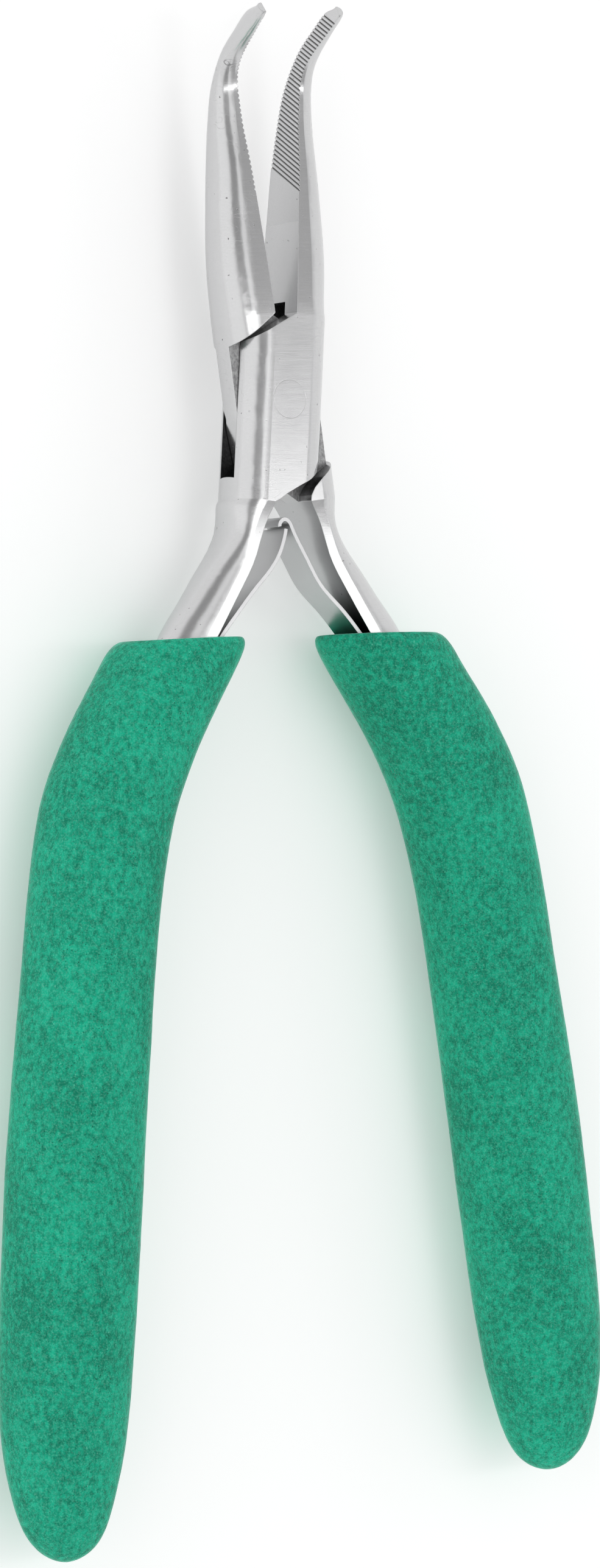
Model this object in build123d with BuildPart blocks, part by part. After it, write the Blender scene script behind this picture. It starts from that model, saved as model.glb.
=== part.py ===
"""Bent needle nose pliers: box joint, serrated jaws, leaf return springs and foam grips.

Millimetres. X runs across the handles, Y along the tool with the jaws at +Y, Z along the
pivot axis. The origin is on the pivot axis at the back face of the joint. Each half is drawn
with its gripping face parallel to Y and then turned about the pivot to the open rest pose.
"""

import os
from math import asin, cos, degrees, hypot, radians, sin

from build123d import *

os.makedirs("parts", exist_ok=True)

# ---- overall sizes ----
joint_thickness = 7.4       # back face to front face of the box joint
joint_half_width = 5.65     # pivot axis to the side of the joint
rest_half_angle = 6.03      # each gripping face off the long axis when the spring holds it open
face_offset = 0.45          # gripping face to pivot axis, so the tips meet before the roots
jaw_reach = 42.6            # pivot axis to the end of the bent tip, along Y
handle_reach = 118.0        # pivot axis to the lower end of the steel handle
handle_depth = 5.6          # handle thickness along Z inside the grip
grip_diameter = 14.4        # foam grip at the middle of the hand
grip_top = -27.0            # where the foam starts, measured along Y
grip_end_wall = 5.4         # foam below the end of the right steel handle
left_grip_extra = 2.8       # the left sleeve is this much longer
grip_top_lean = 6.5         # top face of a grip off square, so it lies level in the open pliers
joint_shift = 0.2           # the box block sits this much to the right of its jaw
shoulder_shift = 0.4        # the lower shoulder of the tongue half stands out this much

# ---- joint details ----
tongue_thickness = 2.5      # thin middle of the tongue half
slot_clearance = 0.06       # each side of the tongue, in the slot
pin_radius = 2.1            # hidden pivot pin
pin_clearance = 0.03        # pin to the bore of the tongue
tooth_pitch = 0.46          # serrations, square across the grooves
tooth_depth = 0.16
tooth_tilt = 30.0           # grooves lean this much from Z toward the handles
first_tooth = 21.4          # distance of the lowest groove from the pivot, square to the grooves

# ---- springs and rivets ----
leaf_thickness = 0.45
leaf_width = 4.4
leaf_gap = 0.34             # leaf to the handle face at the rivet
rivet_radius = 0.8
rivet_depth = 1.8
rivet_hole_clearance = 0.16
rivet_head_radius = 1.45
rivet_head_thickness = 0.55
rivet_head_gap = 0.16
grip_pocket_clearance = 0.45

mid = joint_thickness / 2
half_depth = joint_thickness / 2
side_round = face_offset + 2.0     # where the flat front turns into the rounded side
jaw_root = 9.5                     # the joint block ends and the jaw begins
handle_root = -11.3                # the joint block ends and the handle begins
tip_turn = degrees(asin((face_offset - 0.02) / jaw_reach))
closing_angle = 2 * (rest_half_angle + tip_turn)

# Jaw table, each row a section of the jaw. Back and front edge of the section as (share of the
# jaw's length, share of the joint's half thickness), then the width as a share of the joint's
# and the width of the flat behind the gripping face.
jaw_table = [
    ((0.0000, -1.000), (0.0000, 1.000), 1.000, 2.00),
    ((0.0608, -0.973), (0.0608, 0.984), 0.996, 1.95),
    ((0.1429, -0.924), (0.1429, 0.946), 0.990, 1.85),
    ((0.2827, -0.838), (0.2827, 0.865), 0.908, 1.60),
    ((0.4225, -0.765), (0.4225, 0.784), 0.773, 1.25),
    ((0.5593, -0.641), (0.5593, 0.654), 0.635, 0.95),
    ((0.6383, -0.519), (0.6322, 0.578), 0.562, 0.80),
    ((0.7234, -0.351), (0.7082, 0.562), 0.485, 0.65),
    ((0.7842, -0.122), (0.7568, 0.573), 0.433, 0.55),
    ((0.8328, 0.135), (0.7903, 0.649), 0.390, 0.48),
    ((0.8784, 0.459), (0.8237, 0.816), 0.350, 0.42),
    ((0.9119, 0.797), (0.8571, 1.114), 0.312, 0.36),
    ((0.9574, 1.324), (0.9027, 1.670), 0.254, 0.30),
    ((0.9909, 1.925), (0.9453, 2.209), 0.196, 0.22),
    ((1.0000, 2.270), (0.9690, 2.455), 0.138, 0.15),
]
jaw_length = jaw_reach - jaw_root
jaw_stations = [
    (
        (jaw_root + back_run * jaw_length, back_rise * half_depth),
        (jaw_root + front_run * jaw_length, front_rise * half_depth),
        width_share * (joint_half_width - face_offset),
        flat_width,
    )
    for (back_run, back_rise), (front_run, front_rise), width_share, flat_width in jaw_table
]

# Handle bend, from the joint down: y, inner face, flat behind it, outer side beyond the joint's
# side, share of the joint's extra depth that is left.
handle_bend = [
    (handle_root, 1.15, side_round - 1.15, 0.0, 1.0),
    (-13.2, 1.95, 1.15, 0.01, 0.72),
    (-15.5, 2.60, 1.10, 0.30, 0.50),
    (-18.0, 3.25, 1.20, 1.73, 0.33),
    (-20.5, 4.35, 1.30, 3.35, 0.22),
    (-23.1, 5.65, 1.30, 4.90, 0.13),
    (-25.6, 6.90, 1.35, 6.50, 0.07),
    (-29.0, 8.60, 1.30, 8.20, 0.00),
    (-32.3, 10.20, 1.30, 9.85, 0.00),
    (-36.6, 12.45, 1.25, 12.05, 0.00),
    (-40.9, 14.40, 1.20, 13.90, 0.00),
    (-45.0, 15.85, 1.15, 15.15, 0.00),
]
# Straight of the handle: share of its length, inner face, flat, outer side, depth taken off.
handle_straight = [
    (0.0000, 16.75, 1.15, 15.90, 0.0),
    (0.1134, 17.50, 1.10, 16.45, 0.0),
    (0.2297, 17.95, 1.10, 16.75, 0.0),
    (0.4477, 18.40, 1.00, 16.95, 0.2),
    (0.6948, 18.65, 0.85, 16.70, 0.4),
    (0.8837, 18.70, 0.75, 16.25, 0.6),
    (1.0000, 18.60, 0.65, 15.75, 0.8),
]
extra_depth = half_depth - handle_depth / 2
straight_start = -49.2
straight_length = handle_reach + straight_start
# Handle stations: y, inner face, end of the flat, outer side, half depth.
handle_stations = [
    (y, inner, inner + flat, joint_half_width + outer, handle_depth / 2 + share * extra_depth)
    for y, inner, flat, outer, share in handle_bend
]
handle_stations += [
    (
        straight_start - share * straight_length,
        inner,
        inner + flat,
        joint_half_width + outer,
        handle_depth / 2 - taken,
    )
    for share, inner, flat, outer, taken in handle_straight
]

# Grip bend, from the top down: y, centre, half width across, half depth, share of the lean.
grip_radius = grip_diameter / 2
grip_bend = [
    (grip_top, 10.30, grip_radius - 0.45, grip_radius - 0.95, 1.0),
    (-27.6, 10.60, grip_radius + 0.20, grip_radius - 0.35, 1.0),
    (-29.2, 11.35, grip_radius + 0.55, grip_radius - 0.10, 0.95),
    (-31.8, 12.65, grip_radius + 0.52, grip_radius - 0.05, 0.80),
    (-36.4, 15.05, grip_radius + 0.45, grip_radius, 0.55),
    (-40.9, 17.00, grip_radius + 0.34, grip_radius, 0.30),
    (-45.0, 18.35, grip_radius + 0.22, grip_radius, 0.10),
]
# Straight of the grip: share of its length, centre, then both half widths as shares of the radius.
grip_straight = [
    (0.0000, 19.15, 1.014, 1.000),
    (0.1092, 19.92, 0.997, 1.000),
    (0.2183, 20.22, 1.000, 1.000),
    (0.4367, 20.64, 1.031, 1.021),
    (0.5445, 20.66, 1.031, 1.017),
    (0.6536, 20.66, 1.018, 1.007),
    (0.7628, 20.60, 0.985, 0.975),
    (0.8167, 20.50, 0.945, 0.935),
    (0.8706, 20.35, 0.868, 0.858),
    (0.9245, 20.10, 0.735, 0.727),
    (0.9704, 19.85, 0.530, 0.522),
    (0.9900, 19.76, 0.325, 0.320),
    (0.9980, 19.72, 0.150, 0.150),
    (1.0000, 19.70, 0.060, 0.060),
]


def grip_stations(end_wall):
    """Stations of one grip: y, centre, half width, half depth and lean of the section in degrees."""
    grip_length = straight_start + handle_reach + end_wall
    bend = [row[:4] + (grip_top_lean * row[4],) for row in grip_bend]
    straight = [
        (straight_start - share * grip_length, centre, across * grip_radius, depth * grip_radius, 0)
        for share, centre, across, depth in grip_straight
    ]
    return bend + straight


# Plan outlines of the joint. Each is drawn in the frame of its own half.
beyond_side = joint_half_width + 0.55
box_plan = [
    (face_offset, jaw_root),
    (-5.25, 5.85),
    (-beyond_side, 5.3),
    (-beyond_side, handle_root),
    (-1.15, handle_root),
    (-0.5, -10.9),
    (0.3, -10.3),
    (1.9, -9.3),
    (3.4, -8.45),
    (4.5, -7.6),
    (5.2, -6.6),
    (beyond_side, -5.6),
    (beyond_side, jaw_root),
]
slot_plan = [
    (-beyond_side - 0.8, 10.9),
    (1.3, 10.9),
    (beyond_side + 0.8, 8.2),
    (beyond_side + 0.8, -12.6),
    (-0.2, -12.6),
    (-0.75, -11.0),
    (-beyond_side - 0.8, -8.2),
]
jaw_shoulder_plan = [
    (-face_offset, jaw_root),
    (-0.6, 9.35),
    (-5.4, 6.45),
    (-5.8, 5.95),
    (-beyond_side, 5.85),
    (-beyond_side, jaw_root),
]
handle_shoulder_plan = [
    (beyond_side, -7.2),
    (5.6, -7.55),
    (3.2, -8.9),
    (1.9, -9.9),
    (1.3, -10.7),
    (1.15, handle_root),
    (beyond_side, handle_root),
]
tongue_plan = [
    (-face_offset, 10.3),
    (5.1, 6.3),
    (joint_half_width, 0.6),
    (joint_half_width, -9.0),
    (2.2, -10.8),
    (1.15, handle_root),
    (-5.1, -6.3),
    (-joint_half_width, -0.6),
    (-joint_half_width, 7.0),
    (-2.5, 9.9),
]

# Sawtooth cutter across the gripping face, measured square to the grooves.
groove_half_width = 0.37 * tooth_pitch
groove_run = 0.65 * jaw_reach       # half length of the cutter along the grooves
groove_count = int((40.2 - first_tooth) / tooth_pitch)
tilt = radians(tooth_tilt)
saw_outline = [(first_tooth - tooth_pitch, 0.4), (first_tooth - tooth_pitch, 0.02)]
for index in range(groove_count):
    middle = first_tooth + index * tooth_pitch
    saw_outline.append((middle - groove_half_width, 0.02))
    saw_outline.append((middle, -tooth_depth))
    saw_outline.append((middle + groove_half_width, 0.02))
saw_outline.append((first_tooth + groove_count * tooth_pitch, 0.02))
saw_outline.append((first_tooth + groove_count * tooth_pitch, 0.4))

# Where the leaf spring is riveted on the inner face of the handle, in the frame of the half.
rivet_y = -30.4
upper = [station for station in handle_stations if station[0] >= rivet_y][-1]
lower = [station for station in handle_stations if station[0] < rivet_y][0]
share = (rivet_y - upper[0]) / (lower[0] - upper[0])
rivet_face = (upper[1] + share * (lower[1] - upper[1]), rivet_y)
face_run = (lower[1] - upper[1], lower[0] - upper[0])
face_run = (face_run[0] / hypot(*face_run), face_run[1] / hypot(*face_run))
face_normal = (face_run[1], -face_run[0])
leaf_offset = leaf_gap + leaf_thickness / 2
leaf_root = (
    rivet_face[0] + leaf_offset * face_normal[0],
    rivet_face[1] + leaf_offset * face_normal[1],
)


grip_wall_start = leaf_offset + leaf_thickness / 2 + rivet_head_gap + rivet_head_thickness

# Leaf spring centre lines from the free tip down, each in the frame of its own half.
tab_end = (leaf_root[0] + 2.2 * face_run[0], leaf_root[1] + 2.2 * face_run[1])
leaf_lift = (leaf_root[0] - 1.6 * face_run[0], leaf_root[1] - 1.6 * face_run[1])
right_leaf_line = [
    (-2.40, -13.66),
    (-2.16, -13.12),
    (-1.58, -12.93),
    (-1.08, -13.28),
    (-0.79, -14.00),
    (-0.12, -15.80),
    (0.66, -17.57),
    (1.96, -20.47),
    (4.30, -23.44),
    (6.11, -25.95),
    leaf_lift,
    leaf_root,
    tab_end,
]
left_leaf_line = [
    (1.34, -14.00),
    (1.27, -14.60),
    (1.08, -15.45),
    (0.66, -16.75),
    (0.00, -18.00),
    (-0.86, -19.19),
    (-1.86, -20.35),
    (-4.24, -23.40),
    (-6.11, -25.95),
    (-leaf_lift[0], leaf_lift[1]),
    (-leaf_root[0], leaf_root[1]),
    (-tab_end[0], tab_end[1]),
]
right_rivet_place = Plane(
    origin=(rivet_face[0], rivet_face[1], mid),
    x_dir=(0, 0, 1),
    z_dir=(face_normal[0], face_normal[1], 0),
)
left_rivet_place = Plane(
    origin=(-rivet_face[0], rivet_face[1], mid),
    x_dir=(0, 0, 1),
    z_dir=(-face_normal[0], face_normal[1], 0),
)

joint_place = Plane(origin=(joint_shift, -15, mid), x_dir=(1, 0, 0), z_dir=(0, 1, 0))
tongue_place = Plane(origin=(0, -15, mid), x_dir=(1, 0, 0), z_dir=(0, 1, 0))


# ---- box half: right jaw, two walls with the slot between them, left handle ----
with BuildPart() as box_half:
    for back, front, width, flat in jaw_stations:
        widening = joint_shift if back[0] == jaw_root else 0
        width = width + widening
        flat = flat + widening
        rise = (front[0] - back[0], front[1] - back[1])
        half = hypot(*rise) / 2
        place = Plane(
            origin=(face_offset, (back[0] + front[0]) / 2, mid + (back[1] + front[1]) / 2),
            x_dir=(1, 0, 0),
            z_dir=(0, rise[1], -rise[0]),
        )
        with BuildSketch(place):
            with BuildLine():
                Polyline((flat, half), (0, half), (0, -half), (flat, -half))
                EllipticalCenterArc((flat, 0), width - flat, half, start_angle=-90, arc_size=180)
            make_face()
    loft()
    for y, inner, flat, outer, depth in handle_stations:
        narrowing = joint_shift if y == handle_root else 0
        flat = flat - narrowing
        outer = outer - narrowing
        with BuildSketch(Plane(origin=(-inner, y, mid), x_dir=(-1, 0, 0), z_dir=(0, -1, 0))):
            with BuildLine():
                Polyline((flat - inner, depth), (0, depth), (0, -depth), (flat - inner, -depth))
                EllipticalCenterArc((flat - inner, 0), outer - flat, depth, start_angle=-90, arc_size=180)
            make_face()
    loft()
    with BuildSketch(joint_place, mode=Mode.PRIVATE) as section:
        Rectangle(2 * side_round, joint_thickness)
        with Locations((side_round, 0), (-side_round, 0)):
            Ellipse(joint_half_width - side_round, half_depth)
    with BuildSketch(Plane.XY.offset(-1), mode=Mode.PRIVATE) as outline:
        with BuildLine():
            Polyline(*box_plan, close=True)
        make_face()
    bar = extrude(section.sketch, amount=30, mode=Mode.PRIVATE)
    slab = extrude(outline.sketch, amount=joint_thickness + 2, mode=Mode.PRIVATE)
    add(bar & slab)
    with BuildSketch(Plane.XY.offset(mid - tongue_thickness / 2 - slot_clearance)):
        with BuildLine():
            Polyline(*slot_plan, close=True)
        make_face()
    extrude(amount=tongue_thickness + 2 * slot_clearance, mode=Mode.SUBTRACT)
    with BuildSketch(Plane.XY.offset(-1)):
        Circle(pin_radius)
    extrude(amount=joint_thickness + 2, mode=Mode.SUBTRACT)
    saw_place = Plane(
        origin=(face_offset, 0, mid), x_dir=(0, cos(tilt), sin(tilt)), z_dir=(0, -sin(tilt), cos(tilt))
    )
    with BuildSketch(saw_place):
        with BuildLine():
            Polyline(*saw_outline, close=True)
        make_face()
    extrude(amount=groove_run, both=True, mode=Mode.SUBTRACT)
    with BuildSketch(left_rivet_place.offset(-rivet_depth)):
        Circle(rivet_radius)
    extrude(amount=rivet_depth + 1, mode=Mode.SUBTRACT)
box_half.part = box_half.part.rotate(Axis.Z, -rest_half_angle)
box_half.part.label = "box_half"
export_step(box_half.part, "parts/box_half.step")


# ---- tongue half: left jaw, thin middle that passes through the slot, right handle ----
with BuildPart() as tongue_half:
    for back, front, width, flat in jaw_stations:
        rise = (front[0] - back[0], front[1] - back[1])
        half = hypot(*rise) / 2
        place = Plane(
            origin=(-face_offset, (back[0] + front[0]) / 2, mid + (back[1] + front[1]) / 2),
            x_dir=(-1, 0, 0),
            z_dir=(0, rise[1], -rise[0]),
        )
        with BuildSketch(place):
            with BuildLine():
                Polyline((flat, half), (0, half), (0, -half), (flat, -half))
                EllipticalCenterArc((flat, 0), width - flat, half, start_angle=-90, arc_size=180)
            make_face()
    loft()
    for y, inner, flat, outer, depth in handle_stations:
        widening = shoulder_shift if y == handle_root else 0
        flat = flat + widening
        outer = outer + widening
        with BuildSketch(Plane(origin=(inner, y, mid), x_dir=(1, 0, 0), z_dir=(0, -1, 0))):
            with BuildLine():
                Polyline((flat - inner, depth), (0, depth), (0, -depth), (flat - inner, -depth))
                EllipticalCenterArc((flat - inner, 0), outer - flat, depth, start_angle=-90, arc_size=180)
            make_face()
    loft()
    with BuildSketch(tongue_place, mode=Mode.PRIVATE) as tongue_section:
        Rectangle(2 * side_round, joint_thickness)
        with Locations((side_round, 0), (-side_round, 0)):
            Ellipse(joint_half_width - side_round, half_depth)
    with BuildSketch(Plane.XY.offset(-1), mode=Mode.PRIVATE) as jaw_shoulder:
        with BuildLine():
            Polyline(*jaw_shoulder_plan, close=True)
        make_face()
    with BuildSketch(Plane.XY.offset(-1), mode=Mode.PRIVATE) as handle_shoulder:
        with BuildLine():
            Polyline(*handle_shoulder_plan, close=True)
        make_face()
    tongue_bar = extrude(tongue_section.sketch, amount=30, mode=Mode.PRIVATE)
    jaw_slab = extrude(jaw_shoulder.sketch, amount=joint_thickness + 2, mode=Mode.PRIVATE)
    handle_slab = extrude(handle_shoulder.sketch, amount=joint_thickness + 2, mode=Mode.PRIVATE)
    add(tongue_bar & jaw_slab)
    add(tongue_bar.moved(Location((shoulder_shift, 0, 0))) & handle_slab)
    tongue_floor = Plane.XY.offset(mid - tongue_thickness / 2)
    with BuildSketch(tongue_floor, mode=Mode.PRIVATE) as tongue_outline:
        with BuildLine():
            Polyline(*tongue_plan, close=True)
        make_face()
    plate = extrude(tongue_outline.sketch, amount=tongue_thickness, mode=Mode.PRIVATE)
    add(tongue_bar & plate)
    with BuildSketch(Plane.XY.offset(-1)):
        Circle(pin_radius + pin_clearance)
    extrude(amount=joint_thickness + 2, mode=Mode.SUBTRACT)
    saw_side = Plane(
        origin=(-face_offset, 0, mid), x_dir=(0, cos(tilt), sin(tilt)), z_dir=(0, sin(tilt), -cos(tilt))
    )
    with BuildSketch(saw_side):
        with BuildLine():
            Polyline(*saw_outline, close=True)
        make_face()
    extrude(amount=groove_run, both=True, mode=Mode.SUBTRACT)
    with BuildSketch(right_rivet_place.offset(-rivet_depth)):
        Circle(rivet_radius)
    extrude(amount=rivet_depth + 1, mode=Mode.SUBTRACT)
tongue_half.part = tongue_half.part.rotate(Axis.Z, rest_half_angle)
tongue_half.part.label = "tongue_half"
export_step(tongue_half.part, "parts/tongue_half.step")


# ---- pivot pin, ground flush with both faces of the joint ----
with BuildPart() as pivot_pin:
    with BuildSketch(Plane.XY):
        Circle(pin_radius)
    extrude(amount=joint_thickness)
pivot_pin.part.label = "pivot_pin"
export_step(pivot_pin.part, "parts/pivot_pin.step")


# ---- leaf springs, each riveted to its own handle and meeting at the crotch ----
with BuildPart() as right_leaf_spring:
    with BuildLine() as right_path:
        Spline(*[(x, y, mid) for x, y in right_leaf_line])
    with BuildSketch(Plane(origin=right_path.line @ 0, x_dir=(0, 0, 1), z_dir=right_path.line % 0)):
        Rectangle(leaf_width, leaf_thickness)
    sweep()
    with BuildSketch(right_rivet_place.offset(leaf_offset)):
        Circle(rivet_radius + rivet_hole_clearance)
    extrude(amount=1, both=True, mode=Mode.SUBTRACT)
right_leaf_spring.part = right_leaf_spring.part.rotate(Axis.Z, rest_half_angle)
right_leaf_spring.part.label = "right_leaf_spring"
export_step(right_leaf_spring.part, "parts/right_leaf_spring.step")

with BuildPart() as left_leaf_spring:
    with BuildLine() as left_path:
        Spline(*[(x, y, mid) for x, y in left_leaf_line])
    with BuildSketch(Plane(origin=left_path.line @ 0, x_dir=(0, 0, 1), z_dir=left_path.line % 0)):
        Rectangle(leaf_width, leaf_thickness)
    sweep()
    with BuildSketch(left_rivet_place.offset(leaf_offset)):
        Circle(rivet_radius + rivet_hole_clearance)
    extrude(amount=1, both=True, mode=Mode.SUBTRACT)
left_leaf_spring.part = left_leaf_spring.part.rotate(Axis.Z, -rest_half_angle)
left_leaf_spring.part.label = "left_leaf_spring"
export_step(left_leaf_spring.part, "parts/left_leaf_spring.step")


# ---- rivets that hold the springs, hidden inside the mouths of the grips ----
head_seat = leaf_offset + leaf_thickness / 2 + rivet_head_gap
with BuildPart() as right_spring_rivet:
    with BuildSketch(right_rivet_place.offset(-rivet_depth)):
        Circle(rivet_radius)
    extrude(amount=rivet_depth + head_seat)
    with BuildSketch(right_rivet_place.offset(head_seat)):
        Circle(rivet_head_radius)
    extrude(amount=rivet_head_thickness, taper=20)
right_spring_rivet.part = right_spring_rivet.part.rotate(Axis.Z, rest_half_angle)
right_spring_rivet.part.label = "right_spring_rivet"
export_step(right_spring_rivet.part, "parts/right_spring_rivet.step")

with BuildPart() as left_spring_rivet:
    with BuildSketch(left_rivet_place.offset(-rivet_depth)):
        Circle(rivet_radius)
    extrude(amount=rivet_depth + head_seat)
    with BuildSketch(left_rivet_place.offset(head_seat)):
        Circle(rivet_head_radius)
    extrude(amount=rivet_head_thickness, taper=20)
left_spring_rivet.part = left_spring_rivet.part.rotate(Axis.Z, -rest_half_angle)
left_spring_rivet.part.label = "left_spring_rivet"
export_step(left_spring_rivet.part, "parts/left_spring_rivet.step")


# ---- foam grips, bored to the handles, with a pocket for the spring root ----
pocket_length = 9.5
pocket_width = leaf_width + 2 * grip_pocket_clearance
pocket_depth = grip_wall_start + grip_pocket_clearance
with BuildPart() as right_grip:
    for y, centre, across, depth, lean in grip_stations(grip_end_wall):
        across_dir = (cos(radians(lean)), -sin(radians(lean)), 0)
        down_dir = (-sin(radians(lean)), -cos(radians(lean)), 0)
        with BuildSketch(Plane(origin=(centre, y, mid), x_dir=across_dir, z_dir=down_dir)):
            Ellipse(across, depth)
    loft()
    with BuildSketch(right_rivet_place.offset(-0.6)):
        with Locations((0, (pocket_length / 2 - 2.9))):
            Rectangle(pocket_width, pocket_length)
    extrude(amount=pocket_depth + 0.6, mode=Mode.SUBTRACT)
right_grip.part = right_grip.part.rotate(Axis.Z, rest_half_angle)
right_grip.part = right_grip.part - tongue_half.part - right_spring_rivet.part
right_grip.part.label = "right_grip"
export_step(right_grip.part, "parts/right_grip.step")

with BuildPart() as left_grip:
    for y, centre, across, depth, lean in grip_stations(grip_end_wall + left_grip_extra):
        across_dir = (-cos(radians(lean)), -sin(radians(lean)), 0)
        down_dir = (sin(radians(lean)), -cos(radians(lean)), 0)
        with BuildSketch(Plane(origin=(-centre, y, mid), x_dir=across_dir, z_dir=down_dir)):
            Ellipse(across, depth)
    loft()
    with BuildSketch(left_rivet_place.offset(-0.6)):
        with Locations((0, -(pocket_length / 2 - 2.9))):
            Rectangle(pocket_width, pocket_length)
    extrude(amount=pocket_depth + 0.6, mode=Mode.SUBTRACT)
left_grip.part = left_grip.part.rotate(Axis.Z, -rest_half_angle)
left_grip.part = left_grip.part - box_half.part - left_spring_rivet.part
left_grip.part.label = "left_grip"
export_step(left_grip.part, "parts/left_grip.step")
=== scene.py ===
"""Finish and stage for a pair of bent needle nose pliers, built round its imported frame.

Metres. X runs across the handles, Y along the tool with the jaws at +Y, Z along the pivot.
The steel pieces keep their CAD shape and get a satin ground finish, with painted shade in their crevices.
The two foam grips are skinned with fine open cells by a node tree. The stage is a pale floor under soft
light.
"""

import math

import bmesh
import bpy
from bpy.props import FloatProperty, FloatVectorProperty, IntProperty, PointerProperty
from mathutils import Matrix, Vector


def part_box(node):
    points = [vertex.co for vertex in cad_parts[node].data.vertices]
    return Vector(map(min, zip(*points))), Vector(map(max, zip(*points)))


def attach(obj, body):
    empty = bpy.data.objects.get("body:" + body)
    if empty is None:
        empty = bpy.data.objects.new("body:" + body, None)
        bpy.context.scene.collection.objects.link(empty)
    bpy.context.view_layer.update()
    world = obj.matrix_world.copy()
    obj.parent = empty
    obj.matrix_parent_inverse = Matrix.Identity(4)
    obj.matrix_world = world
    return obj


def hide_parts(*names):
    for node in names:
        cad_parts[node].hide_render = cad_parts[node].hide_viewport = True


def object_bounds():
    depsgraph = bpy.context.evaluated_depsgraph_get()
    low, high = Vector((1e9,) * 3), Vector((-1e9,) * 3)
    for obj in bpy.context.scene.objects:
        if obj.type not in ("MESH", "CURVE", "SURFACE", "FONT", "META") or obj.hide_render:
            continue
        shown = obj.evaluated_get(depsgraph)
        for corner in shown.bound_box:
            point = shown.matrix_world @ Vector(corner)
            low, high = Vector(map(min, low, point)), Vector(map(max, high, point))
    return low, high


bl_info = {
    "name": "Needle Nose Pliers Finish",
    "version": (1, 0, 0),
    "blender": (4, 5, 0),
    "location": "View3D > Sidebar > Pliers",
    "description": "Satin steel, leaf springs and foam grips for a pair of bent nose pliers",
    "category": "Object",
}

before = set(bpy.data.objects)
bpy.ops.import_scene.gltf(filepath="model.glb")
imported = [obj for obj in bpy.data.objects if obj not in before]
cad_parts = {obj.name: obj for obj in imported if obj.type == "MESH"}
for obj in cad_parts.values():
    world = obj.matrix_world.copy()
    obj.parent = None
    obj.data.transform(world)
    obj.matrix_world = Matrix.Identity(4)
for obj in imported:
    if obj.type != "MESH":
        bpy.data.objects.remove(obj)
CAD_LOW, CAD_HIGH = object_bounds()
PIN_LOW, PIN_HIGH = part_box("pivot_pin")
MIDDLE = (PIN_LOW.z + PIN_HIGH.z) / 2
MM = 0.001

# The joint's recess: depths from its middle plane, and the stretch of Y that it takes up.
TONGUE_HALF_DEPTH = 1.25 * MM
SLOT_HALF_DEPTH = 1.31 * MM
PLANE_TOLERANCE = 0.012 * MM
JOINT_TOP = 12.0 * MM
JOINT_BOTTOM = -14.0 * MM

# The serrations: where they start along Y, and depths below the gripping face. The painted shade between
# the teeth starts at the first of these depths and is full at the second.
TEETH_START = 19.5 * MM
GROOVE_SHADE_START = 0.025 * MM
GROOVE_SHADE_FULL = 0.13 * MM
TOOTH_REACH = 0.19 * MM

FLOOR_DROP = 0.2 * MM
FLOOR_HALF = 1.5
CAMERA_PLACE = (-0.3431, -0.0375, 0.4963)
CAMERA_BACK = (-0.5736, 0.0075, 0.8191)
CAMERA_UP = (0.0376, 0.9992, 0.0172)
STRIP_PLACE = (0.07, -0.04, 0.80)
KEY_PLACE = (-0.80, 0.10, 0.25)


# ---- shader maths ----------------------------------------------------------------------


class Wire:
    """One value socket of a node tree, with the arithmetic written as Python operators."""

    def __init__(self, tree, socket):
        self.tree = tree
        self.socket = socket

    def maths(self, operation, *values, clamp=False):
        node = self.tree.nodes.new("ShaderNodeMath")
        node.operation = operation
        node.use_clamp = clamp
        for place, value in zip(node.inputs, (self, *values)):
            join(self.tree, place, value)
        return Wire(self.tree, node.outputs[0])

    def __add__(self, other):
        return self.maths("ADD", other)

    def __sub__(self, other):
        return self.maths("SUBTRACT", other)

    def __mul__(self, other):
        return self.maths("MULTIPLY", other)

    def __truediv__(self, other):
        return self.maths("DIVIDE", other)

    def __pow__(self, other):
        return self.maths("POWER", other)

    def __neg__(self):
        return self.maths("MULTIPLY", -1.0)

    def __abs__(self):
        return self.maths("ABSOLUTE")

    def __lt__(self, other):
        return self.maths("LESS_THAN", other)

    def __gt__(self, other):
        return self.maths("GREATER_THAN", other)

    def __rsub__(self, other):
        return -self + other

    def __rtruediv__(self, other):
        return self ** -1.0 * other

    __radd__ = __add__
    __rmul__ = __mul__

    def clamped(self):
        return self.maths("ADD", 0.0, clamp=True)


def join(tree, place, value):
    """Puts a number, a colour or a wire into an input socket."""
    if isinstance(value, Wire):
        tree.links.new(value.socket, place)
    else:
        place.default_value = value


class Net:
    """A node tree, with one method that makes any node other than the maths."""

    def __init__(self, tree):
        self.tree = tree

    def node(self, kind, settings=None, **inputs):
        """Makes a node: its settings first, then the values or links of its inputs."""
        made = self.tree.nodes.new(kind)
        for key, value in (settings or {}).items():
            setattr(made, key, value)
        for key, value in inputs.items():
            wanted = key.replace("_", " ")
            free = [s for s in made.inputs if s.name == wanted and s.enabled]
            join(self.tree, free[0], value)
        return {s.name: Wire(self.tree, s) for s in made.outputs if s.enabled}

    def ranged(self, value, low, high, to_low=0.0, to_high=1.0):
        """Maps low to high onto another range, and holds its ends beyond them."""
        limits = {"From_Min": low, "From_Max": high, "To_Min": to_low, "To_Max": to_high}
        return self.node("ShaderNodeMapRange", Value=value, **limits)["Result"]

    def split(self, vector):
        made = self.node("ShaderNodeSeparateXYZ", Vector=vector)
        return made["X"], made["Y"], made["Z"]


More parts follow.
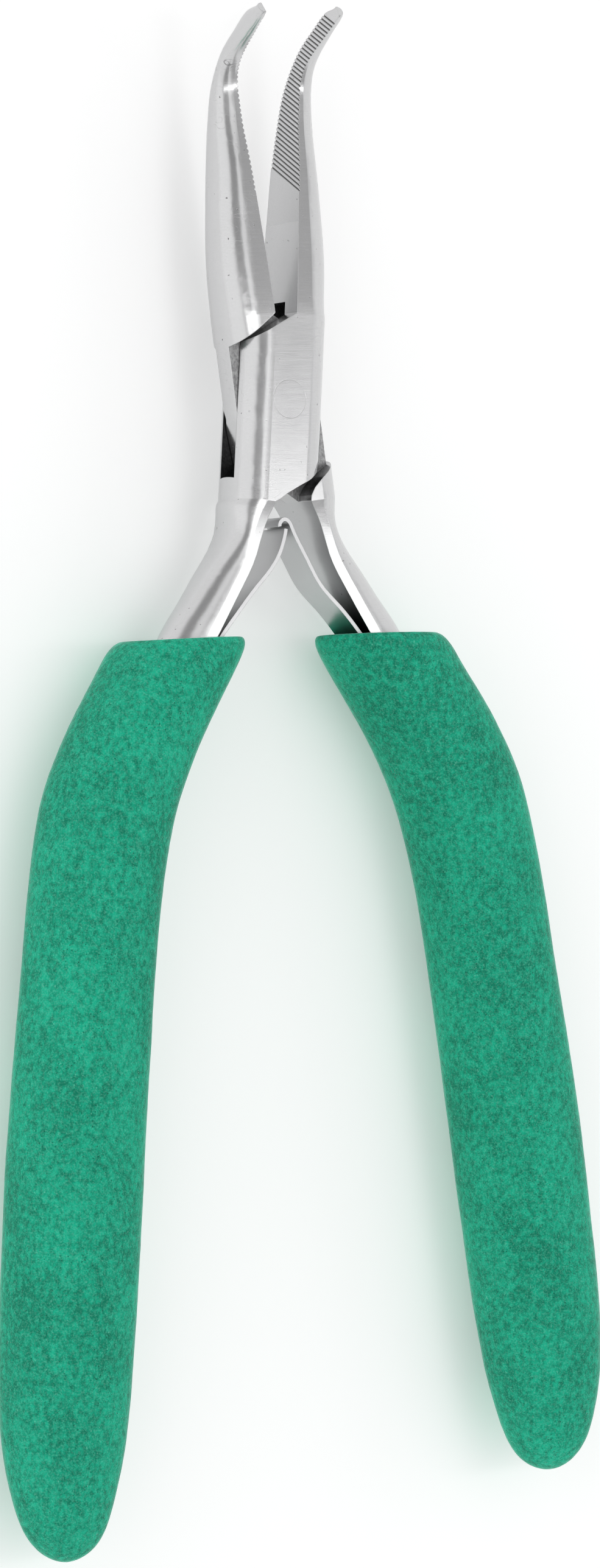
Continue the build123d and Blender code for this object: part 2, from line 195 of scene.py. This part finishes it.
class Finish(Net):
    """A material with its shader, its coordinates and the nodes that its patterns use."""

    def __init__(self, name):
        self.material = bpy.data.materials.new(name)
        self.material.use_nodes = True
        super().__init__(self.material.node_tree)
        self.shader = self.tree.nodes["Principled BSDF"]
        place = self.node("ShaderNodeTexCoord")
        self.place = place["Object"]
        self.facing = place["Normal"]

    def stretched(self, x, y, z, shift=(0.0, 0.0, 0.0)):
        """The piece's own coordinates with features x, y and z metres long."""
        scale = (1 / x, 1 / y, 1 / z)
        made = self.node("ShaderNodeMapping", Vector=self.place, Scale=scale, Location=shift)
        return made["Vector"]

    def noise(self, vector, detail=2.0, roughness=0.5, distortion=0.0):
        made = self.node(
            "ShaderNodeTexNoise",
            Vector=vector,
            Scale=1.0,
            Detail=detail,
            Roughness=roughness,
            Distortion=distortion,
        )
        return made["Fac"]

    def blend(self, factor, first, second, way="MIX"):
        """A colour between two colours, or their product, by a factor."""
        node = self.tree.nodes.new("ShaderNodeMix")
        node.data_type = "RGBA"
        node.blend_type = way
        sockets = [s for s in node.inputs if s.enabled]
        join(self.tree, sockets[0], factor)
        for place, colour in zip(sockets[1:], (first, second)):
            join(self.tree, place, colour if isinstance(colour, Wire) else (*colour, 1.0))
        out = [s for s in node.outputs if s.enabled][0]
        return Wire(self.tree, out)

    def grey(self, value):
        made = self.node("ShaderNodeCombineColor", Red=value, Green=value, Blue=value)
        return made["Color"]

    def bump(self, height, strength, distance, under=None):
        inputs = {"Height": height, "Strength": strength, "Distance": distance}
        if under is not None:
            inputs["Normal"] = under
        return self.node("ShaderNodeBump", **inputs)["Normal"]

    def set(self, **values):
        """Constant or varying values on the shader's own sockets."""
        for key, value in values.items():
            join(self.tree, self.shader.inputs[key.replace("_", " ")], value)


# ---- finishes --------------------------------------------------------------------------


def satin_steel(settings):
    """Ground and satin blasted steel: fine lines across the handles, soft cloud, small marks, and painted
    shade in crevices, the slot and between the teeth.
    """
    coat = Finish("satin_steel")
    x, y, z = coat.split(coat.place)
    lines = coat.noise(coat.stretched(2.6 * MM, 0.055 * MM, 0.40 * MM), detail=3.0, roughness=0.6)
    grain = coat.noise(coat.stretched(0.10 * MM, 0.10 * MM, 0.10 * MM), detail=2.0, roughness=0.6)
    cloud = coat.noise(coat.stretched(5.0 * MM, 8.0 * MM, 5.0 * MM), detail=3.0, roughness=0.55)
    pit_field = coat.noise(coat.stretched(0.45 * MM, 0.45 * MM, 0.45 * MM, (3.1, 1.7, 0.4)), detail=1.0)
    pits = coat.ranged(pit_field, 0.765, 0.80)
    nick_place = coat.stretched(2.2 * MM, 1.6 * MM, 2.2 * MM, (0.7, 5.2, 2.3))
    nick_path = coat.noise(nick_place, detail=0.0, distortion=1.2)
    nick_near = coat.noise(coat.stretched(9.0 * MM, 9.0 * MM, 9.0 * MM, (4.0, 0.0, 1.0)), detail=0.0)
    nicks = coat.ranged(abs(nick_path - 0.5), 0.004, 0.0) * coat.ranged(nick_near, 0.60, 0.68)

    turned = settings.rest_angle
    square = abs(x) * math.cos(turned) - y * math.sin(turned) - settings.face_offset
    sunk = coat.ranged(square, GROOVE_SHADE_START, GROOVE_SHADE_FULL)
    near_face = square < TOOTH_REACH

    facing_x, _, facing_z = coat.split(coat.facing)
    flat_on = coat.ranged(abs(facing_z), 0.93, 0.98)
    toothed = near_face * (y > TEETH_START) * (1.0 - flat_on) * (abs(facing_x) > 0.25)
    # Painted shade between the teeth, deeper with depth below the gripping face and kept off the flats.
    groove_shade = sunk * toothed
    in_joint = (y < JOINT_TOP) * (y > JOINT_BOTTOM) * flat_on
    depth = abs(z - MIDDLE)
    plate_face = (abs(depth - TONGUE_HALF_DEPTH) < PLANE_TOLERANCE) * in_joint
    slot_wall = (abs(depth - SLOT_HALF_DEPTH) < PLANE_TOLERANCE) * in_joint
    recess = (plate_face + slot_wall).clamped()
    mottle = coat.noise(coat.stretched(0.35 * MM, 0.45 * MM, 0.35 * MM), detail=4.0, roughness=0.7)

    # Painted shade: ambient occlusion darkens the steel in crevices, in the slot and where the parts meet.
    close = coat.node("ShaderNodeAmbientOcclusion", {"samples": 6, "only_local": False}, Distance=2.2 * MM)
    crevice_shade = coat.ranged(close["AO"], 0.06, 0.62)

    tone = cloud * 0.08 + lines * 0.14 + grain * 0.12 + 0.83
    tone = tone * (1.0 - pits * 0.55) * (1.0 - nicks * 0.45)
    # Recessed faces take a darker rough mottle; on the slot's walls it is further darkened as painted
    # shade.
    worn = coat.ranged(mottle, 0.30, 0.72, 0.34, 0.86) * (1.0 - slot_wall * 0.80)
    tone = tone * (1.0 - recess) + worn * recess
    # Painted shade from the occlusion, then painted shade between the teeth of the serrations.
    tone = tone * (crevice_shade * 0.86 + 0.14) * (1.0 - groove_shade * 0.72)
    colour = coat.blend(1.0, coat.grey(tone), tuple(settings.steel_colour), "MULTIPLY")

    rough = lines * 0.10 + grain * 0.06 + cloud * 0.05 + (settings.steel_roughness - 0.10)
    rough = (rough + recess * 0.30 + pits * 0.25 + toothed * 0.12).clamped()

    edge = coat.node("ShaderNodeBevel", {"samples": 4}, Radius=settings.edge_radius)["Normal"]
    normal = coat.bump(lines, 0.22, 0.004 * MM, edge)
    normal = coat.bump(grain - pits * 2.0 - nicks * 1.5, 0.30, 0.006 * MM, normal)
    normal = coat.bump(mottle * recess, 0.8, 0.05 * MM, normal)
    coat.set(Base_Color=colour, Roughness=rough, Normal=normal, Metallic=1.0)
    return coat.material


def spring_strip(settings):
    """Rolled spring strip, a little darker, with lines along its length, and painted shade in crevices."""
    coat = Finish("spring_strip")
    lines = coat.noise(coat.stretched(0.06 * MM, 3.0 * MM, 0.06 * MM), detail=3.0, roughness=0.6)
    grain = coat.noise(coat.stretched(0.12 * MM, 0.12 * MM, 0.12 * MM), detail=2.0)
    cloud = coat.noise(coat.stretched(3.0 * MM, 4.0 * MM, 3.0 * MM), detail=2.0)
    # Painted shade: ambient occlusion darkens the springs in crevices and where they meet other parts.
    close = coat.node("ShaderNodeAmbientOcclusion", {"samples": 6}, Distance=1.6 * MM)
    crevice_shade = coat.ranged(close["AO"], 0.05, 0.55)
    tone = (cloud * 0.08 + lines * 0.06 + 0.90) * (crevice_shade * 0.75 + 0.25)
    colour = coat.blend(1.0, coat.grey(tone), tuple(settings.spring_colour), "MULTIPLY")
    rough = (lines * 0.12 + grain * 0.06 + settings.spring_roughness - 0.08).clamped()
    edge = coat.node("ShaderNodeBevel", {"samples": 4}, Radius=settings.edge_radius * 0.7)["Normal"]
    normal = coat.bump(lines + grain * 0.5, 0.25, 0.004 * MM, edge)
    coat.set(Base_Color=colour, Roughness=rough, Normal=normal, Metallic=1.0)
    return coat.material


def cell_foam(settings):
    """Fine cell foam rubber: mottled green, pinholes with painted shade, pale rims of the cells, soft
    sheen.
    """
    coat = Finish("cell_foam")
    patch = coat.noise(coat.stretched(7.0 * MM, 11.0 * MM, 7.0 * MM), detail=3.0, roughness=0.6)
    mottle = coat.noise(coat.stretched(0.62 * MM, 0.80 * MM, 0.62 * MM), detail=4.0, roughness=0.68)
    fine = coat.noise(coat.stretched(0.19 * MM, 0.19 * MM, 0.19 * MM), detail=2.0, roughness=0.6)
    cells = coat.node(
        "ShaderNodeTexVoronoi",
        {"feature": "F1"},
        Vector=coat.stretched(0.42 * MM, 0.42 * MM, 0.42 * MM),
        Scale=1.0,
        Randomness=1.0,
    )["Distance"]
    hole_field = coat.noise(coat.stretched(3.2 * MM, 5.0 * MM, 3.2 * MM, (2.0, 0.3, 0.9)), detail=1.0)
    hole_patch = coat.ranged(hole_field, 0.40, 0.64)
    holes = coat.ranged(cells, 0.21, 0.11) * (hole_patch * 0.85 + 0.15)
    speck_field = coat.noise(coat.stretched(0.30 * MM, 0.34 * MM, 0.30 * MM, (7.0, 1.0, 3.0)), detail=1.0)
    specks = coat.ranged(speck_field, 0.70, 0.78)

    light = tuple(settings.foam_colour)
    core = tuple(settings.foam_core_colour)
    pale = tuple(settings.foam_pale_colour)
    dark = tuple(0.45 * part for part in core)
    lit = coat.ranged(mottle, 0.34, 0.66, -0.10, 1.0) + coat.ranged(patch, 0.3, 0.7, -0.25, 0.30)
    colour = coat.blend(lit.clamped(), core, light)
    colour = coat.blend(coat.ranged(fine, 0.45, 0.75, 0.0, 0.30), colour, pale)
    colour = coat.blend(specks * 0.35, colour, pale)
    # Painted shade inside the pinholes: the cell centres are darkened, and the bump below also sinks them.
    colour = coat.blend(holes * 0.75, colour, dark)
    normal = coat.bump(mottle, 0.55, 0.10 * MM)
    normal = coat.bump(fine - holes * 1.6, 0.60, 0.05 * MM, normal)
    coat.set(
        Base_Color=colour,
        Roughness=0.88,
        Normal=normal,
        Sheen_Weight=settings.foam_sheen,
        Sheen_Roughness=0.20,
        Sheen_Tint=(0.62, 1.0, 0.88, 1.0),
        Specular_IOR_Level=0.25,
    )
    return coat.material


def pale_floor(settings):
    """Matt board with the faintest tooth."""
    coat = Finish("pale_floor")
    tooth = coat.noise(coat.stretched(1.5 * MM, 1.5 * MM, 1.5 * MM), detail=2.0)
    colour = coat.blend(tooth * 0.03, tuple(settings.floor_colour), (0.80, 0.80, 0.80))
    coat.set(
        Base_Color=colour,
        Roughness=0.9,
        Specular_IOR_Level=0.1,
        Emission_Color=(1.0, 1.0, 1.0, 1.0),
        Emission_Strength=0.22,
    )
    return coat.material


def soft_tent(settings):
    """White light tent with a grey panel on either side, which shade the round edges and flats."""
    world = bpy.data.worlds.new("soft_tent")
    world.use_nodes = True
    net = Net(world.node_tree)
    x, y, z = net.split(net.node("ShaderNodeTexCoord")["Generated"])
    overhead = z > 0.0
    lean = x / ((x * x + z * z + 1e-6) ** 0.5)
    left = net.ranged(lean, -0.72, -0.52) * net.ranged(lean, -0.04, -0.12)
    left = left * net.ranged(abs(y), 0.93, 0.75) * overhead
    right = net.ranged(lean, 0.20, 0.34) * net.ranged(lean, 0.80, 0.68) * overhead
    sky = net.tree.nodes["Background"]
    sky.inputs["Color"].default_value = (1.0, 1.0, 1.0, 1.0)
    join(net.tree, sky.inputs["Strength"], (1.0 - left * 0.62 - right * 0.50) * settings.sky_strength)
    return world


# ---- node tree of the foam skin --------------------------------------------------------


def foam_skin_tree():
    """Geometry nodes that raise and sink a grip's surface into soft swells and open cells."""
    tree = bpy.data.node_groups.new("foam_skin", "GeometryNodeTree")
    face = tree.interface
    face.new_socket("Geometry", in_out="INPUT", socket_type="NodeSocketGeometry")
    for name, kind, default in (
        ("Swell Size", "NodeSocketFloat", 0.009),
        ("Swell Depth", "NodeSocketFloat", 0.00015),
        ("Cell Size", "NodeSocketFloat", 0.0012),
        ("Cell Depth", "NodeSocketFloat", 0.00003),
        ("Seed", "NodeSocketInt", 3),
        ("Finish", "NodeSocketMaterial", None),
    ):
        socket = face.new_socket(name, in_out="INPUT", socket_type=kind)
        if default is not None:
            socket.default_value = default
    face.new_socket("Geometry", in_out="OUTPUT", socket_type="NodeSocketGeometry")

    net = Net(tree)
    source = net.node("NodeGroupInput")
    position = net.node("GeometryNodeInputPosition")["Position"]
    normal = net.node("GeometryNodeInputNormal")["Normal"]

    def field(size, detail):
        made = net.node(
            "ShaderNodeTexNoise",
            {"noise_dimensions": "4D"},
            Vector=position,
            W=source["Seed"],
            Scale=1.0 / size,
            Detail=detail,
        )
        return made["Fac"] - 0.5

    swell = field(source["Swell Size"], 1.0) * source["Swell Depth"]
    cells = field(source["Cell Size"], 3.0) * source["Cell Depth"]
    lift = net.node("ShaderNodeVectorMath", {"operation": "SCALE"}, Vector=normal, Scale=swell + cells)
    moved = net.node("GeometryNodeSetPosition", Geometry=source["Geometry"], Offset=lift["Vector"])
    smooth = net.node("GeometryNodeSetShadeSmooth", Geometry=moved["Geometry"])
    solid = net.node("GeometryNodeRealizeInstances", Geometry=smooth["Geometry"])
    painted = net.node("GeometryNodeSetMaterial", Geometry=solid["Geometry"], Material=source["Finish"])
    net.node("NodeGroupOutput", Geometry=painted["Geometry"])
    return tree


def set_inputs(modifier, values):
    """Sets a node modifier's inputs by the identifiers of their sockets."""
    names = {item.name: item.identifier for item in modifier.node_group.interface.items_tree
             if item.item_type == "SOCKET" and item.in_out == "INPUT"}
    for name, value in values.items():
        modifier[names[name]] = value


def baked(thing):
    """The mesh of an object with its modifiers worked out, and the modifiers removed."""
    bpy.context.view_layer.update()
    seen = thing.evaluated_get(bpy.context.evaluated_depsgraph_get())
    mesh = bpy.data.meshes.new_from_object(seen)
    thing.modifiers.clear()
    old = thing.data
    thing.data = mesh
    bpy.data.meshes.remove(old)
    mesh.name = thing.name
    return thing


def copy_of_node(node, name):
    """A welded copy of a CAD node's mesh as a new object at the origin."""
    mesh = bpy.data.meshes.new(name)
    work = bmesh.new()
    work.from_mesh(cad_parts[node].data)
    bmesh.ops.remove_doubles(work, verts=work.verts, dist=2e-6)
    work.to_mesh(mesh)
    work.free()
    thing = bpy.data.objects.new(name, mesh)
    bpy.context.scene.collection.objects.link(thing)
    return thing


def finish_nodes(names, material):
    """Gives CAD nodes a finish through their objects' material slots."""
    for name in names:
        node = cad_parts[name]
        if not node.material_slots:
            raise RuntimeError(f"{name} has no material slot")
        for place in node.material_slots:
            place.link = "OBJECT"
            place.material = material


def tilted_camera(lens):
    """The camera, above the tool and well to its left."""
    back = Vector(CAMERA_BACK).normalized()
    right = Vector(CAMERA_UP).cross(back).normalized()
    up = back.cross(right)
    camera = bpy.data.objects.new("camera", bpy.data.cameras.new("camera"))
    camera.data.lens = lens
    camera.data.sensor_width = 36.0
    camera.data.clip_start = 0.01
    camera.data.clip_end = 20.0
    turn = Matrix((right, up, back)).transposed().to_4x4()
    camera.matrix_world = Matrix.Translation(Vector(CAMERA_PLACE)) @ turn
    bpy.context.scene.collection.objects.link(camera)
    return camera


def area_lamp(name, place, aim, size, power):
    """A soft rectangular light that faces a point."""
    data = bpy.data.lights.new(name, "AREA")
    data.shape = "RECTANGLE"
    data.size, data.size_y = size
    data.energy = power
    lamp = bpy.data.objects.new(name, data)
    turn = (aim - Vector(place)).to_track_quat("-Z", "Y").to_matrix().to_4x4()
    lamp.matrix_world = Matrix.Translation(Vector(place)) @ turn
    bpy.context.scene.collection.objects.link(lamp)


# ---- settings --------------------------------------------------------------------------


class PliersSteelSettings(bpy.types.PropertyGroup):
    """Colours and sizes of the steel and of the springs."""

    steel_colour: FloatVectorProperty(
        name="Steel colour", description="Body colour of the satin steel",
        default=(0.60, 0.60, 0.605), size=3, subtype="COLOR", min=0, max=1,
    )
    steel_roughness: FloatProperty(
        name="Steel roughness", description="Softness of reflections on the satin steel",
        default=0.20, min=0, max=1, subtype="FACTOR",
    )
    spring_colour: FloatVectorProperty(
        name="Spring colour", description="Body colour of the leaf springs and rivets",
        default=(0.58, 0.58, 0.585), size=3, subtype="COLOR", min=0, max=1,
    )
    spring_roughness: FloatProperty(
        name="Spring roughness", description="Softness of reflections on the springs",
        default=0.30, min=0, max=1, subtype="FACTOR",
    )
    edge_radius: FloatProperty(
        name="Edge radius", description="Radius that catches light along worn steel edges",
        default=0.00012, min=0, unit="LENGTH", precision=5,
    )
    rest_angle: FloatProperty(
        name="Rest angle", description="Each gripping face off the long axis when open",
        default=math.radians(6.03), subtype="ANGLE",
    )
    face_offset: FloatProperty(
        name="Face offset", description="Gripping face to the pivot's axis",
        default=0.00045, unit="LENGTH", precision=5,
    )


class PliersFoamSettings(bpy.types.PropertyGroup):
    """Colours and sizes of the foam grips."""

    foam_colour: FloatVectorProperty(
        name="Foam colour", description="Green of the lit foam",
        default=(0.008, 0.450, 0.270), size=3, subtype="COLOR", min=0, max=1,
    )
    foam_core_colour: FloatVectorProperty(
        name="Foam core colour", description="Deeper green between the cells",
        default=(0.0, 0.200, 0.115), size=3, subtype="COLOR", min=0, max=1,
    )
    foam_pale_colour: FloatVectorProperty(
        name="Foam rim colour", description="Pale rims and specks of the cells",
        default=(0.200, 0.680, 0.500), size=3, subtype="COLOR", min=0, max=1,
    )
    foam_sheen: FloatProperty(
        name="Foam sheen", description="Soft glow at the edge of the foam",
        default=1.0, min=0, max=1, subtype="FACTOR",
    )
    mesh_pitch: FloatProperty(
        name="Mesh pitch", description="Spacing of the foam skin's mesh",
        default=0.00034, min=0.0002, unit="LENGTH", precision=5,
    )
    swell_size: FloatProperty(
        name="Swell size", description="Length of the soft swells",
        default=0.009, unit="LENGTH", precision=4,
    )
    swell_depth: FloatProperty(
        name="Swell depth", description="Height of the soft swells",
        default=0.00022, unit="LENGTH", precision=5,
    )
    cell_size: FloatProperty(
        name="Cell size", description="Length of the open cells",
        default=0.0011, unit="LENGTH", precision=5,
    )
    cell_depth: FloatProperty(
        name="Cell depth", description="Depth of the open cells",
        default=0.00006, unit="LENGTH", precision=6,
    )
    seed: IntProperty(name="Seed", description="Seed of the foam's cells", default=3, min=0)


class PliersStageSettings(bpy.types.PropertyGroup):
    """Colours and strengths of the stage."""

    floor_colour: FloatVectorProperty(
        name="Floor colour", description="Colour of the pale floor",
        default=(0.93, 0.93, 0.93), size=3, subtype="COLOR", min=0, max=1,
    )
    sky_strength: FloatProperty(
        name="Sky strength", description="Strength of the even white light",
        default=1.02, min=0,
    )
    strip_power: FloatProperty(
        name="Strip power", description="Power of the narrow strip light",
        default=1.2, min=0, unit="POWER",
    )
    key_power: FloatProperty(
        name="Key power", description="Power of the broad soft light",
        default=0.25, min=0, unit="POWER",
    )
    lens: FloatProperty(
        name="Lens", description="Focal length of the camera in millimetres",
        default=125.8, min=1,
    )


# ---- operators -------------------------------------------------------------------------


class PLIERS_OT_steel(bpy.types.Operator):
    """Finish the two steel halves and the pivot pin"""

    bl_idname = "pliers.steel"
    bl_label = "Finish steel halves"

    def execute(self, context):
        finish_nodes(("box_half", "tongue_half", "pivot_pin"), satin_steel(context.scene.pliers_steel))
        return {"FINISHED"}


class PLIERS_OT_springs(bpy.types.Operator):
    """Finish the leaf springs and their rivets"""

    bl_idname = "pliers.springs"
    bl_label = "Finish leaf springs"

    def execute(self, context):
        names = ("left_leaf_spring", "right_leaf_spring", "left_spring_rivet", "right_spring_rivet")
        finish_nodes(names, spring_strip(context.scene.pliers_steel))
        return {"FINISHED"}


class PLIERS_OT_grips(bpy.types.Operator):
    """Build the two foam grips over their plain solids"""

    bl_idname = "pliers.grips"
    bl_label = "Build foam grips"

    def execute(self, context):
        settings = context.scene.pliers_foam
        foam = cell_foam(settings)
        tree = foam_skin_tree()
        for side, body in (("left", "box_body"), ("right", "tongue_body")):
            grip = copy_of_node(f"{side}_grip", f"{side}_foam_grip")
            even = grip.modifiers.new("even", "REMESH")
            even.mode = "VOXEL"
            even.voxel_size = settings.mesh_pitch
            soft = grip.modifiers.new("soft", "SMOOTH")
            soft.factor = 0.5
            soft.iterations = 3
            skin = grip.modifiers.new("skin", "NODES")
            skin.node_group = tree
            set_inputs(skin, {
                "Swell Size": settings.swell_size,
                "Swell Depth": settings.swell_depth,
                "Cell Size": settings.cell_size,
                "Cell Depth": settings.cell_depth,
                "Seed": settings.seed + (side == "right"),
                "Finish": foam,
            })
            baked(grip)
            if len(grip.data.polygons) < 1000:
                raise RuntimeError(f"the {side} grip has no skin")
            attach(grip, body)
            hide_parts(f"{side}_grip")
        return {"FINISHED"}


class PLIERS_OT_stage(bpy.types.Operator):
    """Build the floor, the lights and the camera"""

    bl_idname = "pliers.stage"
    bl_label = "Build stage"

    def execute(self, context):
        settings = context.scene.pliers_stage
        scene = context.scene
        mesh = bpy.data.meshes.new("floor")
        work = bmesh.new()
        place = Matrix.Translation((0, 0, CAD_LOW.z - FLOOR_DROP))
        bmesh.ops.create_grid(work, x_segments=1, y_segments=1, size=FLOOR_HALF, matrix=place)
        work.to_mesh(mesh)
        work.free()
        floor = bpy.data.objects.new("floor", mesh)
        scene.collection.objects.link(floor)
        mesh.materials.append(pale_floor(settings))

        scene.world = soft_tent(settings)
        scene.view_settings.view_transform = "Standard"

        scene.camera = tilted_camera(settings.lens)
        middle = (CAD_LOW + CAD_HIGH) / 2
        area_lamp("strip", STRIP_PLACE, middle, (0.11, 1.3), settings.strip_power)
        area_lamp("key", KEY_PLACE, middle, (0.5, 1.2), settings.key_power)
        return {"FINISHED"}


class PLIERS_PT_panel(bpy.types.Panel):
    """Lists the settings and the steps of the pliers' finish"""

    bl_idname = "PLIERS_PT_panel"
    bl_label = "Pliers finish"
    bl_space_type = "VIEW_3D"
    bl_region_type = "UI"
    bl_category = "Pliers"

    def draw(self, context):
        layout = self.layout
        for title, group in (
            ("Steel", context.scene.pliers_steel),
            ("Foam", context.scene.pliers_foam),
            ("Stage", context.scene.pliers_stage),
        ):
            box = layout.box()
            box.label(text=title)
            for name in group.__annotations__:
                box.prop(group, name)
        for step in STEPS:
            layout.operator(step.bl_idname)


SETTINGS = {
    "pliers_steel": PliersSteelSettings,
    "pliers_foam": PliersFoamSettings,
    "pliers_stage": PliersStageSettings,
}
STEPS = (PLIERS_OT_steel, PLIERS_OT_springs, PLIERS_OT_grips, PLIERS_OT_stage)


def register():
    for name, group in SETTINGS.items():
        bpy.utils.register_class(group)
        setattr(bpy.types.Scene, name, PointerProperty(type=group))
    for made in (*STEPS, PLIERS_PT_panel):
        bpy.utils.register_class(made)


def unregister():
    for made in (PLIERS_PT_panel, *reversed(STEPS)):
        bpy.utils.unregister_class(made)
    for name, group in reversed(SETTINGS.items()):
        delattr(bpy.types.Scene, name)
        bpy.utils.unregister_class(group)


def main():
    register()
    bpy.ops.pliers.steel()
    bpy.ops.pliers.springs()
    bpy.ops.pliers.grips()
    bpy.ops.pliers.stage()


if __name__ == "__main__":
    main()
